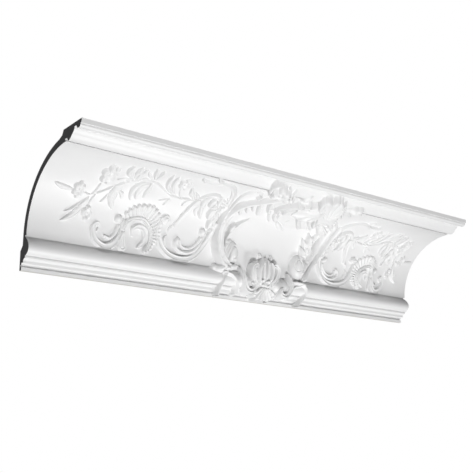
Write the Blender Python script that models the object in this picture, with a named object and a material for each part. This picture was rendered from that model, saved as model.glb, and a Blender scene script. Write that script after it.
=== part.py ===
"""Cornice moulding: a cove between a wall and a ceiling, with a run of cast rococo ornament.

The moulding is one cast piece. Lengths in the tables below are millimetres. A place on the ornament is
(u, v, h): u along the moulding from its left end, v along the cove's curve from its lower edge, and h the
height off the cove. The finished object is in metres: +X along the moulding, +Y into the wall, +Z up, with
the origin on the wall face, halfway along and halfway up it.
"""

import math
from bisect import bisect_left

import bmesh
import bpy
from mathutils import Vector

METRE = 0.001
LENGTH = 1000.0
HEIGHT = 217.0
WALL_FACE_HEIGHT = 36.0
SHELL = 13.5
COVE_CENTRE = (-166.0, -157.0)
COVE_REACH = 143.0
COVE_RISE = 133.0
COVE_FACETS = 10
BACK_FACETS = 8
BACK_END = math.radians(80.0)
COVE_STEPS = 400
ROOT_DEPTH = 4.5
KNOB_SIDES = 6

# The faces above the cove, from the top of the front edge down and in to the cove, as (y, z).
UPPER_MOULDING = (
    (-221.0, 0.0), (-221.0, -6.8), (-215.0, -6.9), (-213.6, -9.9), (-211.3, -12.4), (-208.5, -13.5),
    (-205.4, -12.8), (-198.2, -8.2), (-193.6, -10.4), (-189.6, -14.0), (-186.4, -18.5), (-184.2, -23.4),
    (-179.7, -25.6), (-175.0, -25.0), (-171.0, -22.6), (-167.6, -22.4),
)
# The faces below the cove, from its lower edge down to the bottom.
LOWER_MOULDING = (
    (-17.6, -157.4), (-21.4, -160.2), (-26.0, -164.6), (-30.4, -169.2), (-33.6, -174.2), (-35.0, -179.6),
    (-33.6, -185.2), (-30.0, -189.2), (-25.0, -192.0), (-21.8, -192.8), (-21.8, -196.5), (-17.6, -197.8),
    (-14.2, -200.6), (-14.0, -206.0), (-12.4, -207.6), (-7.0, -208.2), (-7.0, -217.0),
)
# The wall face, the slant above it, and the ceiling face at the back of the top.
BACK_LOWER = ((0.0, -217.0), (0.0, -181.0), (-9.0, -172.0))
BACK_UPPER = ((-150.0, -8.5), (-155.0, 0.0))

# Sections of bands and leaves, as (share across, share of the rise); a root lies under each edge.
FLAT = ((-0.6, 1.0), (0.6, 1.0))
RIDGE = ((0.0, 1.0),)
VEINED = ((-0.8, 0.55), (0.0, 1.0), (0.8, 0.55))
GROOVED = ((-0.92, 0.96), (0.0, 0.82), (0.92, 1.0))
# Half widths along a leaf, as shares of its width: for a small, a middling and a wide one.
SMALL_LEAF = 8.5
WIDE_LEAF = 12.5
SMALL_SHARES = (0.2, 0.5, 0.04)
LEAF_SHARES = (0.16, 0.5, 0.42, 0.03)
WIDE_SHARES = (0.14, 0.44, 0.5, 0.36, 0.03)

# Stems: the line, the half width at each end, and the rise.
STEMS = (
    (((96, 99), (112, 101), (134, 118), (152, 134), (170, 147), (192, 154), (215, 153), (238, 143),
      (258, 134), (280, 132), (304, 131), (322, 134)), (2.0, 3.2), 4.5),
    (((110, 100), (113, 112), (114, 126)), (1.8, 2.4), 4.0),
    (((114, 97), (110, 84), (107, 70)), (1.8, 1.8), 4.0),
    (((281, 134), (276, 144), (271, 158)), (1.8, 2.0), 4.0),
)
# Leaves: base, bend, tip, width and rise.
LEAVES = (
    ((68, 101), (47, 98), (28, 109), 12, 5.0),
    ((103, 94), (92, 66), (58, 37), 20, 6.5),
    ((141, 120), (135, 100), (126, 85), 7, 4.5),
    ((157, 138), (137, 104), (158, 75), 18, 7.0),
    ((168, 152), (146, 170), (155, 190), 15, 7.0),
    ((170, 152), (176, 172), (172, 190), 15, 6.0),
    ((207, 161), (196, 166), (186, 181), 8, 5.0),
    ((209, 162), (204, 180), (194, 198), 9, 6.0),
    ((211, 162), (216, 178), (212, 195), 10, 6.0),
    ((204, 152), (176, 134), (184, 102), 13, 7.0),
    ((207, 150), (214, 128), (195, 107), 15, 6.5),
    ((264, 136), (236, 150), (241, 196), 13, 7.0),
    ((318, 136), (297, 142), (296, 165), 11, 6.0),
    ((327, 137), (315, 142), (309, 154), 9, 5.0),
    ((306, 133), (299, 123), (296, 111), 8, 4.0),
    ((272, 128), (262, 118), (248, 112), 8, 3.5),
    ((308, 194), (298, 192), (293, 206), 11, 6.0),
    ((345, 201), (334, 203), (319, 219), 9, 6.0),
    ((347, 152), (331, 122), (351, 92), 13, 7.0),
    ((328, 128), (329, 112), (338, 97), 9, 5.0),
    ((302, 71), (290, 64), (287, 52), 7, 5.0),
    ((292, 20), (279, 36), (287, 48), 10, 6.0),
    ((371, 154), (368, 122), (384, 62), 27, 11.0),
    ((366, 146), (356, 138), (357, 124), 12, 9.0),
    ((374, 120), (364, 112), (366, 98), 13, 9.0),
    ((394, 139), (384, 148), (376, 155), 8, 6.0),
    ((394, 134), (383, 136), (373, 136), 8, 6.0),
    ((184, 52), (186, 72), (197, 90), 9, 6.0),
)
# Flowers: centre, half width, half height, petals, rise and the turn of the first petal in degrees.
FLOWERS = (
    ((78, 103), 14, 18, 5, 7.5, 90),
    ((121, 152), 18, 25, 6, 8.5, 100),
    ((108, 60), 11, 15, 4, 6.5, 100),
    ((272, 171), 12, 17, 5, 7.5, 90),
)
# Scrolls: the line, the half widths and the rises, spread evenly along it.
SCROLLS = (
    (((271, 84), (266, 64), (270, 40), (283, 18), (307, 5), (335, 4), (360, 18), (378, 43), (388, 86)),
     (6, 6, 7, 7, 6, 5), (9, 9, 10, 10, 11, 11)),
    (((313, 42), (310, 29), (323, 19), (343, 21), (359, 34), (369, 52), (368, 69)), (6, 4, 4, 5, 5),
     (9, 8, 9, 9, 9)),
    (((140, 30), (137, 44), (127, 36), (129, 17), (144, 4), (161, 3), (176, 17), (184, 38), (180, 57)),
     (3, 5, 7, 7, 6, 5), (6, 8, 8, 8, 8, 8)),
    (((153, 24), (163, 22), (171, 30), (175, 45)), (3, 4), (7, 7)),
    (((191, 50), (191, 36), (191, 22), (192, 9)), (3, 4, 9), (6, 6, 5)),
    (((189, 44), (193, 58), (206, 68), (224, 69), (240, 58), (248, 40), (247, 20), (241, 6)), (4, 4), (8, 8)),
    (((209, 38), (214, 50), (228, 54), (239, 42), (239, 22), (229, 9)), (3, 6, 6, 3), (7, 8, 8, 6)),
    (((301, 197), (320, 195), (343, 200), (365, 196), (382, 179), (391, 140)), (5, 7, 4), (7, 8, 9)),
    (((322, 134), (333, 150), (350, 158), (364, 152), (370, 134)), (3, 5, 4), (6, 8, 8)),
    (((323, 131), (315, 108), (308, 88), (300, 70)), (7, 5, 4), (6, 6, 5)),
)
# Knobs: centre, half width, half height and rise.
KNOBS = (
    ((276, 79), 9, 10, 10.0),
    ((312, 40), 7, 8, 10.0),
    ((175, 61), 8, 9, 9.0),
    ((366, 67), 7, 8, 10.0),
)
# The comb of shell flutes: inner and outer radii spread evenly from its first angle to its last.
COMB_CENTRE = (222, 38)
COMB_INNER = (36, 35, 30, 27, 25, 26, 32)
COMB_OUTER = (52, 58, 65, 60, 52, 42, 43)
COMB_ANGLES = (138.0, -52.0)
COMB_FLUTES = 11
COMB_RISES = (7.0, 4.0)

# The right-hand spray is the left one turned over and drawn in: a place on the left, and where it goes.
TURNED = (
    (28, 979), (78, 944), (124, 913), (155, 888), (190, 869), (222, 848), (267, 804), (320, 749), (395, 684),
)
TURNED_RISE = 0.87
TURNED_LEAN = 0.2
TURNED_LEAN_FROM = 50.0

# The height the crest and the foot of the palmette stand to, against v.
CREST_HEIGHTS = ((120, 14), (150, 24), (170, 29), (190, 30), (210, 30), (217, 28), (237, 10), (251, -5))
PALMETTE_HEIGHTS = ((-60, 3), (-40, 15), (-20, 23), (0, 20), (20, 14), (40, 8))
# The frame's bands: the line, the half widths, the rises and the section.
FRAME_BANDS = (
    (((433, 5), (420, 22), (410, 45), (406, 72), (406, 95), (408, 118), (411, 138), (416, 158), (426, 175),
      (440, 188), (458, 198)), (10.5, 9, 7.5, 7, 7, 8.5, 10, 17), (27, 26, 25, 21, 18, 15, 14, 13), GROOVED),
    (((628, 2), (645, 11), (657, 35), (668, 65), (680, 95), (692, 122), (703, 143)), (9, 12, 14, 14, 12, 8),
     (27, 24, 20, 17, 13, 9), GROOVED),
    (((421, 44), (429, 76), (444, 99), (463, 117)), (5, 6, 7, 1), (25, 18, 11, 7), RIDGE),
    (((393, -5), (412, -9), (436, -6), (459, -1)), (5, 7, 7, 5), (29, 28, 26, 24), FLAT),
    (((602, -1), (621, -8), (640, -7), (657, -2)), (5, 7, 7, 4), (25, 26, 24, 22), FLAT),
    (((426, -10), (422, -33), (416, -58)), (9, 8, 3), (26, 17, 5), RIDGE),
    (((641, -9), (646, -30), (637, -57)), (9, 9, 3), (24, 16, 5), RIDGE),
    (((441, -12), (462, -28), (486, -48)), (8, 7, 5), (21, 17, 9), RIDGE),
    (((630, -12), (617, -26), (607, -38)), (8, 7, 5), (21, 17, 9), RIDGE),
    (((471, 7), (474, -11), (479, -31), (491, -45), (505, -43), (510, -29)), (3, 6, 7, 6, 5),
     (14, 19, 18, 19), FLAT),
    (((597, 12), (602, -9), (603, -29), (592, -44), (575, -46), (562, -32)), (3, 6, 7, 6, 5),
     (14, 19, 18, 19), FLAT),
    (((512, 13), (500, 21), (489, 13), (490, -1), (499, -15), (507, -30), (505, -46)), (5, 7, 7, 6, 5),
     (20, 22, 23, 22, 10), FLAT),
    (((554, 13), (566, 21), (577, 13), (576, -1), (567, -15), (559, -30), (561, -46)), (5, 7, 7, 6, 5),
     (20, 22, 23, 22, 10), FLAT),
    (((480, 197), (506, 163), (537, 123)), (9, 12, 8), (31, 28, 14), RIDGE),
    (((522, 192), (547, 162), (562, 128)), (12, 15, 10), (31, 27, 15), RIDGE),
    (((562, 194), (583, 164), (589, 131)), (12, 15, 11), (31, 28, 15), RIDGE),
    (((598, 196), (610, 168), (613, 141)), (12, 14, 10), (30, 26, 14), RIDGE),
    (((630, 208), (652, 226), (678, 222), (707, 200)), (10, 14, 11, 2), (26, 19, 14, 6), RIDGE),
)
# The frame's leaves and husks, as the leaves of a spray.
FRAME_LEAVES = (
    ((650, 58), (644, 92), (628, 114), 24, 17.0),
    ((646, 74), (632, 80), (619, 98), 10, 12.0),
    ((650, 54), (634, 62), (619, 77), 10, 13.0),
    ((428, 156), (429, 142), (431, 129), 10, 11.0),
    ((453, 176), (452, 160), (450, 144), 11, 13.0),
    ((474, 172), (474, 154), (473, 136), 10, 11.0),
    ((498, 166), (497, 152), (495, 139), 8, 10.0),
    ((687, 222), (676, 212), (671, 198), 12, 11.0),
)
# The crest's leaves and the palmette's upright, which stand on the heights above.
CREST_LEAVES = (
    ((503, 206), (528, 226), (567, 238), 30, 8.0),
    ((484, 206), (494, 222), (493, 236), 16, 8.0),
    ((516, 212), (522, 234), (548, 240), 14, 7.0),
)
UPRIGHT = ((532, -14), (532, 12), (535, 37), 17, 6.0)
# The frame's knobs: centre, half width, half height and rise.
FRAME_KNOBS = (
    ((441, 39), 14, 23, 25.0),
    ((617, 31), 17, 28, 26.0),
    ((522, 40), 6, 6, 9.0),
    ((551, 39), 6, 6, 9.0),
)
PALMETTE_DOME = ((531, -12), 24, 33, 6.0)
# The flowers of the crest: centre, half width, half height, petals, rise and turn.
ROSETTE = ((450, 230), 25, 20, 5, 9.0, 90)
BLOSSOM = ((643, 138), 11, 16, 5, 13.0, 90)
# The fans: centre, inner and outer radii, angles, flutes and rises.
SHELL_FAN = ((601, 206), (5,), (52, 57, 48, 45, 36), (155.0, 35.0), 7, (8.0, 3.0))
FOOT_FAN = ((531, -30), (6,), (26, 28, 26), (205.0, 335.0), 5, (3.0, 0.5))
# The pad that the crest lies on.
CREST_PAD = (
    (436, 214), (448, 188), (476, 174), (510, 164), (536, 138), (580, 136), (616, 148), (640, 170),
    (668, 194), (688, 212), (676, 232), (640, 244), (600, 248), (548, 246), (500, 242), (458, 240),
)
CREST_PAD_TOP = (560, 200)
CREST_PAD_INSET = 0.82
CREST_PAD_DROP = 5.0


def between(x, pairs):
    """The value at x of a line through (x, value) pairs, which run upwards in x."""
    if x <= pairs[0][0]:
        return pairs[0][1]
    for (x0, y0), (x1, y1) in zip(pairs, pairs[1:]):
        if x <= x1:
            return y0 + (y1 - y0) * (x - x0) / (x1 - x0)
    return pairs[-1][1]


def cove_point(angle, offset=0.0):
    """The point (y, z) at an angle round the cove, moved back behind its face by offset."""
    reach = COVE_REACH + offset
    rise = COVE_RISE + offset
    return COVE_CENTRE[0] + reach * math.cos(angle), COVE_CENTRE[1] + rise * math.sin(angle)


def cove_table():
    """Angles round the cove, and the length of its curve up to each."""
    angles = [math.pi / 2 * i / COVE_STEPS for i in range(COVE_STEPS + 1)]
    lengths = [0.0]
    for first, second in zip(angles, angles[1:]):
        (y0, z0), (y1, z1) = cove_point(first), cove_point(second)
        lengths.append(lengths[-1] + math.hypot(y1 - y0, z1 - z0))
    return angles, lengths


COVE_ANGLES, COVE_LENGTHS = cove_table()
COVE_TOP = COVE_LENGTHS[-1]
COVE_FOOT = cove_point(0.0)
COVE_HEAD = cove_point(math.pi / 2)
FACE_HEIGHTS = (
    sorted((z - COVE_FOOT[1], COVE_FOOT[0] - y) for y, z in LOWER_MOULDING)
    + [(0.0, 0.0), (COVE_TOP, 0.0)]
    + sorted((COVE_TOP + COVE_HEAD[0] - y, COVE_HEAD[1] - z) for y, z in UPPER_MOULDING)
)


def place(u, v, h):
    """The point in metres for a place on the cove; past its two edges the cove runs on straight."""
    inside = min(max(v, 0.0), COVE_TOP)
    i = max(bisect_left(COVE_LENGTHS, inside), 1)
    share = (inside - COVE_LENGTHS[i - 1]) / (COVE_LENGTHS[i] - COVE_LENGTHS[i - 1])
    angle = COVE_ANGLES[i - 1] + (COVE_ANGLES[i] - COVE_ANGLES[i - 1]) * share
    y, z = cove_point(angle)
    across, up = math.cos(angle) / COVE_REACH, math.sin(angle) / COVE_RISE
    size = math.hypot(across, up)
    y -= h * across / size + max(v - COVE_TOP, 0.0)
    z -= h * up / size - min(v, 0.0)
    return Vector((u - LENGTH / 2, y, z + HEIGHT - WALL_FACE_HEIGHT / 2)) * METRE


def level(v):
    """No lift: the ornament lies on the cove."""
    return 0.0


def crest_height(v):
    """The lift of the crest."""
    return between(v, CREST_HEIGHTS)


def palmette_height(v):
    """The lift of the palmette."""
    return between(v, PALMETTE_HEIGHTS)


def as_drawn(u, v):
    """The left-hand spray, where the tables have it."""
    return u, v


def turned_over(u, v):
    """Where the right-hand spray has a place of the left-hand one."""
    return between(u, TURNED) + TURNED_LEAN * max(v - TURNED_LEAN_FROM, 0.0), v * TURNED_RISE


def bend(base, middle, tip, steps):
    """A curve from base to tip, drawn towards middle."""
    shares = [i / steps for i in range(steps + 1)]
    return [
        tuple((1 - t) ** 2 * a + 2 * t * (1 - t) * b + t * t * c for a, b, c in zip(base, middle, tip))
        for t in shares
    ]


def spread(values, share):
    """The value at a share of the way through evenly spaced values."""
    return between(share * (len(values) - 1), list(enumerate(values)))


def add_solid(name, points, faces, collection):
    """A closed solid with its faces turned out."""
    mesh = bpy.data.meshes.new(name)
    mesh.from_pydata(points, [], faces)
    shaped = bmesh.new()
    shaped.from_mesh(mesh)
    bmesh.ops.recalc_face_normals(shaped, faces=shaped.faces)
    shaped.to_mesh(mesh)
    shaped.free()
    solid = bpy.data.objects.new(name, mesh)
    collection.objects.link(solid)
    return solid


def root(u, v):
    """The place where a raised edge is rooted, a little behind the moulding's own face."""
    return u, v, between(v, FACE_HEIGHTS) - ROOT_DEPTH


def add_band(collection, name, rows, spot):
    """A closed band from rows of (u, v, h): the first and last place of each row are rooted."""
    points = []
    for row in rows:
        moved = [(*spot(u, v), h) for u, v, h in row]
        points += [place(*p) for p in (root(*moved[0][:2]), *moved[1:-1], root(*moved[-1][:2]))]
    wide = len(rows[0])
    faces = [list(range(wide)), list(range(len(points) - wide, len(points)))]
    for i in range(len(rows) - 1):
        for j in range(wide):
            k = (j + 1) % wide
            faces.append([i * wide + j, i * wide + k, (i + 1) * wide + k, (i + 1) * wide + j])
    add_solid(name, points, faces, collection)


def ribbon(collection, name, line, halves, rises, section, lift=level, spot=as_drawn):
    """A band along a line: a section of (share across, share of the rise), set up on the cove."""
    rows = []
    for i, (u, v) in enumerate(line):
        before, after = line[max(i - 1, 0)], line[min(i + 1, len(line) - 1)]
        du, dv = after[0] - before[0], after[1] - before[1]
        size = math.hypot(du, dv)
        share = i / (len(line) - 1)
        half, rise = spread(halves, share), spread(rises, share)
        rows.append([
            (u - dv / size * across * half, v + du / size * across * half, lift(v) + height * rise)
            for across, height in ((-1.0, 0.0), *section, (1.0, 0.0))
        ])
    add_band(collection, name, rows, spot)


def leaf(collection, name, base, middle, tip, width, rise, lift=level, spot=as_drawn):
    """A pointed leaf with a raised midrib."""
    shares = WIDE_SHARES if width > WIDE_LEAF else LEAF_SHARES if width > SMALL_LEAF else SMALL_SHARES
    line = bend(base, middle, tip, len(shares) - 1)
    halves = [width * share for share in shares]
    section = VEINED if width > WIDE_LEAF else RIDGE
    ribbon(collection, name, line, halves, (rise * 0.8, rise, rise * 0.6), section, lift, spot)


def domed(collection, name, rings, top, spot=as_drawn):
    """A closed solid with rings of (u, v, h), outermost first, closed over by the top point."""
    loops = [[(*spot(u, v), h) for u, v, h in ring] for ring in rings]
    loops.insert(0, [root(u, v) for u, v, h in loops[0]])
    points = [place(*p) for loop in loops for p in loop]
    points.append(place(*spot(*top[:2]), top[2]))
    n = len(rings[0])
    faces = [list(range(n))]
    for i in range(len(loops) - 1):
        for j in range(n):
            k = (j + 1) % n
            faces.append([i * n + j, i * n + k, (i + 1) * n + k, (i + 1) * n + j])
    last = (len(loops) - 1) * n
    faces += [[last + j, last + (j + 1) % n, len(points) - 1] for j in range(n)]
    add_solid(name, points, faces, collection)


def flower(collection, name, centre, half_u, half_v, petals, rise, turn, lift=level, spot=as_drawn):
    """An open flower: petals round a hollow with a small seed head."""
    u, v = centre
    rings = []
    for tip, notch, height in ((1.0, 0.66, 0.55), (0.62, 0.45, 1.0)):
        ring = []
        for i in range(petals * 2):
            angle = math.radians(turn) + math.pi * i / petals
            size = notch if i % 2 else tip
            at = v + half_v * size * math.sin(angle)
            ring.append((u + half_u * size * math.cos(angle), at, lift(at) + rise * height))
        rings.append(ring)
    domed(collection, name, rings, (u, v, lift(v) + rise * 0.6), spot)


def knob(collection, name, centre, half_u, half_v, rise, lift=level, spot=as_drawn, sides=KNOB_SIDES):
    """A round knob."""
    u, v = centre
    rings = []
    for size, height in ((1.0, 0.4), (0.6, 0.9)):
        ring = []
        for i in range(sides):
            angle = math.tau * i / sides
            at = v + half_v * size * math.sin(angle)
            ring.append((u + half_u * size * math.cos(angle), at, lift(at) + rise * height))
        rings.append(ring)
    domed(collection, name, rings, (u, v, lift(v) + rise), spot)


def fan(collection, name, centre, inner, outer, angles, flutes, rises, lift=level, spot=as_drawn):
    """A fan of shell flutes: a ring sector whose edge and face rise and fall from flute to flute."""
    rows = []
    for i in range(flutes * 2 + 1):
        share = i / (flutes * 2)
        angle = math.radians(angles[0] + (angles[1] - angles[0]) * share)
        rise = rises[i % 2]
        reach = spread(outer, share) * (1.0 if i % 2 == 0 else 0.95)
        near = spread(inner, share)
        rows.append([])
        for radius, height in ((near, 0.0), (near, 0.9), (reach - 1.0, 1.0), (reach, 0.0)):
            v = centre[1] + radius * math.sin(angle)
            rows[-1].append((centre[0] + radius * math.cos(angle), v, lift(v) + rise * height))
    add_band(collection, name, rows, spot)


def spray(collection, side, spot):
    """One side's run of stems, leaves, flowers and scrolls."""
    for i, (line, halves, rise) in enumerate(STEMS):
        ribbon(collection, f"{side}_stem_{i}", line, halves, (rise, rise), RIDGE, spot=spot)
    for i, row in enumerate(LEAVES):
        leaf(collection, f"{side}_leaf_{i}", *row, spot=spot)
    for i, row in enumerate(FLOWERS):
        flower(collection, f"{side}_flower_{i}", *row, spot=spot)
    for i, (line, halves, rises) in enumerate(SCROLLS):
        ribbon(collection, f"{side}_scroll_{i}", line, halves, rises, FLAT, spot=spot)
    for i, row in enumerate(KNOBS):
        knob(collection, f"{side}_knob_{i}", *row, spot=spot)
    fan(collection, f"{side}_comb", COMB_CENTRE, COMB_INNER, COMB_OUTER, COMB_ANGLES, COMB_FLUTES, COMB_RISES,
        spot=spot)


def crest_pad(collection):
    """The broad pad under the crest."""
    u0, v0 = CREST_PAD_TOP
    rings = []
    for size, drop in ((1.0, CREST_PAD_DROP * 2), (CREST_PAD_INSET, CREST_PAD_DROP)):
        places = [(u0 + (u - u0) * size, v0 + (v - v0) * size) for u, v in CREST_PAD]
        rings.append([(u, v, crest_height(v) - drop) for u, v in places])
    domed(collection, "crest_pad", rings, (u0, v0, crest_height(v0) - CREST_PAD_DROP))


def frame(collection):
    """The frame in the middle: its scrolls, feet, palmette and crest."""
    for i, row in enumerate(FRAME_BANDS):
        ribbon(collection, f"frame_band_{i}", *row)
    for i, row in enumerate(FRAME_LEAVES):
        leaf(collection, f"frame_leaf_{i}", *row)
    for i, row in enumerate(FRAME_KNOBS):
        knob(collection, f"frame_knob_{i}", *row, sides=8)
    for i, row in enumerate(CREST_LEAVES):
        leaf(collection, f"crest_leaf_{i}", *row, lift=crest_height)
    crest_pad(collection)
    flower(collection, "rosette", *ROSETTE, lift=crest_height)
    flower(collection, "blossom", *BLOSSOM)
    fan(collection, "shell", *SHELL_FAN, lift=crest_height)
    knob(collection, "palmette_dome", *PALMETTE_DOME, lift=palmette_height, sides=8)
    leaf(collection, "palmette_upright", *UPRIGHT, lift=palmette_height)
    fan(collection, "palmette_foot", *FOOT_FAN, lift=palmette_height)


def moulding_outline():
    """The outline of the moulding's section, as (y, z): the front from the top down, then the back."""
    steps = range(1, COVE_FACETS)
    cove = [cove_point(math.pi / 2 * (1 - i / COVE_FACETS)) for i in steps]
    back = [cove_point(BACK_END * i / BACK_FACETS, SHELL) for i in range(BACK_FACETS + 1)]
    return [*UPPER_MOULDING, COVE_HEAD, *cove, COVE_FOOT, *LOWER_MOULDING, *BACK_LOWER, *back, *BACK_UPPER]


def white_primer():
    """The white primer of the cast surface."""
    finish = bpy.data.materials.new("white_primer")
    finish.use_nodes = True
    shader = finish.node_tree.nodes["Principled BSDF"]
    shader.inputs["Base Color"].default_value = (0.86, 0.86, 0.86, 1.0)
    shader.inputs["Roughness"].default_value = 0.55
    shader.inputs["Metallic"].default_value = 0.0
    return finish


def make_moulding(ornament):
    """The moulding's straight body, with the ornament made one with it."""
    outline = moulding_outline()
    n = len(outline)
    lift = HEIGHT - WALL_FACE_HEIGHT / 2
    points = [
        Vector((x, y, z + lift)) * METRE for x in (-LENGTH / 2, LENGTH / 2) for y, z in outline
    ]
    faces = [list(range(n)), list(range(n, 2 * n))]
    faces += [[j, (j + 1) % n, n + (j + 1) % n, n + j] for j in range(n)]
    moulding = add_solid("cornice_moulding", points, faces, bpy.context.scene.collection)
    joined = moulding.modifiers.new("ornament", "BOOLEAN")
    joined.operation = "UNION"
    joined.solver = "EXACT"
    joined.operand_type = "COLLECTION"
    joined.collection = ornament
    settle(moulding)
    moulding.data.materials.append(white_primer())


def shells_of(shaped):
    """The closed shells of a mesh, each as a set of faces joined edge to edge."""
    left = set(shaped.faces)
    shells = []
    while left:
        shell = {left.pop()}
        edge_of_shell = list(shell)
        while edge_of_shell:
            face = edge_of_shell.pop()
            near = {other for edge in face.edges for other in edge.link_faces} & left
            left -= near
            shell |= near
            edge_of_shell.extend(near)
        shells.append(shell)
    return shells


def settle(moulding):
    """Makes the union the moulding's own mesh, with the pockets sealed in between motifs filled solid."""
    shaped = bmesh.new()
    shaped.from_object(moulding, bpy.context.evaluated_depsgraph_get())
    pockets = sorted(shells_of(shaped), key=len)[:-1]
    bmesh.ops.delete(shaped, geom=[face for shell in pockets for face in shell], context="FACES")
    moulding.modifiers.clear()
    shaped.to_mesh(moulding.data)
    shaped.free()


def main():
    """Clears the scene and makes the moulding."""
    for leftover in list(bpy.data.objects):
        bpy.data.objects.remove(leftover, do_unlink=True)
    ornament = bpy.data.collections.new("ornament")
    bpy.context.scene.collection.children.link(ornament)
    spray(ornament, "left", as_drawn)
    spray(ornament, "right", turned_over)
    frame(ornament)
    make_moulding(ornament)
    for motif in list(ornament.objects):
        bpy.data.objects.remove(motif, do_unlink=True)


main()
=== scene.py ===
"""Cornice moulding, dressed: the cove's body and the rococo carving on it, with its primer and its studio.

Lengths in the classes are millimetres. A place on the carving is (u, v, h): u along the moulding from its
left end, v along the cove's curve from its lower edge, and h the height off the cove. Finished meshes are in
metres: +X along the moulding, +Y towards its back, +Z up, with the origin in the middle of the foot's back.
"""

from __future__ import annotations

import logging
import math
from abc import ABC, abstractmethod
from collections.abc import Callable, Iterable
from dataclasses import dataclass, field
from enum import Enum, IntEnum

import bpy
import numpy as np
from mathutils import Matrix


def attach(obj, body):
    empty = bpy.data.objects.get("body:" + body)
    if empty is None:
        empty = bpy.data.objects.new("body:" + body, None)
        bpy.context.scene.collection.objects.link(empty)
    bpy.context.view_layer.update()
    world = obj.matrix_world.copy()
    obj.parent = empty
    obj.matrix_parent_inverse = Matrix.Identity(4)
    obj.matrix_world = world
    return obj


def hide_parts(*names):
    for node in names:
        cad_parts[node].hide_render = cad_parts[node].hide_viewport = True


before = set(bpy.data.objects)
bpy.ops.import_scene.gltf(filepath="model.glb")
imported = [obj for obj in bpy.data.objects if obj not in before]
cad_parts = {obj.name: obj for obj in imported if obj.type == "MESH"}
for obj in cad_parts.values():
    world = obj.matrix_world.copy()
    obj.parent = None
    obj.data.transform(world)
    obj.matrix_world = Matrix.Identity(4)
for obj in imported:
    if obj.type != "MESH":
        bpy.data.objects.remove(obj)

log = logging.getLogger("cornice")

METRE = 0.001
LENGTH = 1000.0
TOP_TO_ORIGIN = 199.0
NODE = "cornice_moulding"
BODY = "root"
LINE_STEPS = 8
TINY = 1e-6
WHITE = (1.0, 1.0, 1.0, 1.0)

Place = tuple[float, float]
Line = tuple[Place, ...]
Sizes = tuple[float, ...]
Triple = tuple[float, float, float]
Part = tuple[slice, slice]
Spot = Callable[[np.ndarray, np.ndarray], tuple[np.ndarray, np.ndarray]]


@dataclass
class Cove:
    """The cove's curve in the section, a quarter of an ellipse."""

    centre_y: float = -166.0
    centre_z: float = -157.0
    reach: float = 143.0
    rise: float = 133.0
    steps: int = 900
    angles: np.ndarray = field(init=False)
    lengths: np.ndarray = field(init=False)

    def __post_init__(self) -> None:
        """Measures the curve's length up to each of its angles."""
        self.angles = np.linspace(0.0, math.pi / 2, self.steps + 1)
        y = self.centre_y + self.reach * np.cos(self.angles)
        z = self.centre_z + self.rise * np.sin(self.angles)
        self.lengths = np.concatenate([[0.0], np.cumsum(np.hypot(np.diff(y), np.diff(z)))])

    @property
    def top(self) -> float:
        """The length of the whole curve."""
        return float(self.lengths[-1])

    def section(self, v: np.ndarray, h: np.ndarray) -> tuple[np.ndarray, np.ndarray]:
        """Finds points of the section.

        Args:
            v: Lengths along the curve; past its two ends it runs on straight.
            h: Heights off the curve.

        Returns:
            The points' y and z.
        """
        angle = np.interp(np.clip(v, 0.0, self.top), self.lengths, self.angles)
        across, up = np.cos(angle) / self.reach, np.sin(angle) / self.rise
        size = np.hypot(across, up)
        y = self.centre_y + self.reach * np.cos(angle) - h * across / size - np.maximum(v - self.top, 0.0)
        z = self.centre_z + self.rise * np.sin(angle) - h * up / size + np.minimum(v, 0.0)
        return y, z

    def place(self, u: np.ndarray, v: np.ndarray, h: np.ndarray) -> np.ndarray:
        """Finds points in metres.

        Args:
            u: Places along the moulding.
            v: Lengths along the curve.
            h: Heights off the curve.

        Returns:
            An array of points, one row each.
        """
        y, z = self.section(v, h)
        return np.column_stack([u - LENGTH / 2, y, z + TOP_TO_ORIGIN]) * METRE


COVE = Cove()


def through(points: Iterable[Sizes], steps: int) -> np.ndarray:
    """Draws a smooth line through points.

    Args:
        points: The points that it passes.
        steps: How many short steps each stretch takes.

    Returns:
        The line's points, one row each.
    """
    p = np.array(list(points), float)
    if len(p) == 2:
        return np.linspace(p[0], p[1], steps + 1)
    held = np.vstack([2 * p[0] - p[1], p, 2 * p[-1] - p[-2]])
    t = np.linspace(0.0, 1.0, steps, endpoint=False)[:, None]
    stretches = []
    for a, b, c, d in zip(held, held[1:], held[2:], held[3:]):
        line = 2 * b + (c - a) * t + (2 * a - 5 * b + 4 * c - d) * t**2 + (3 * b - a - 3 * c + d) * t**3
        stretches.append(line / 2)
    return np.vstack([*stretches, p[-1:]])


def spread(values: Sizes, share: np.ndarray) -> np.ndarray:
    """Reads evenly spread values.

    Args:
        values: The values, from the start to the end.
        share: How far along to read them, 0 to 1.

    Returns:
        The values there.
    """
    if len(values) == 1:
        return np.full_like(share, values[0])
    return np.interp(share, np.linspace(0.0, 1.0, len(values)), values)


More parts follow.
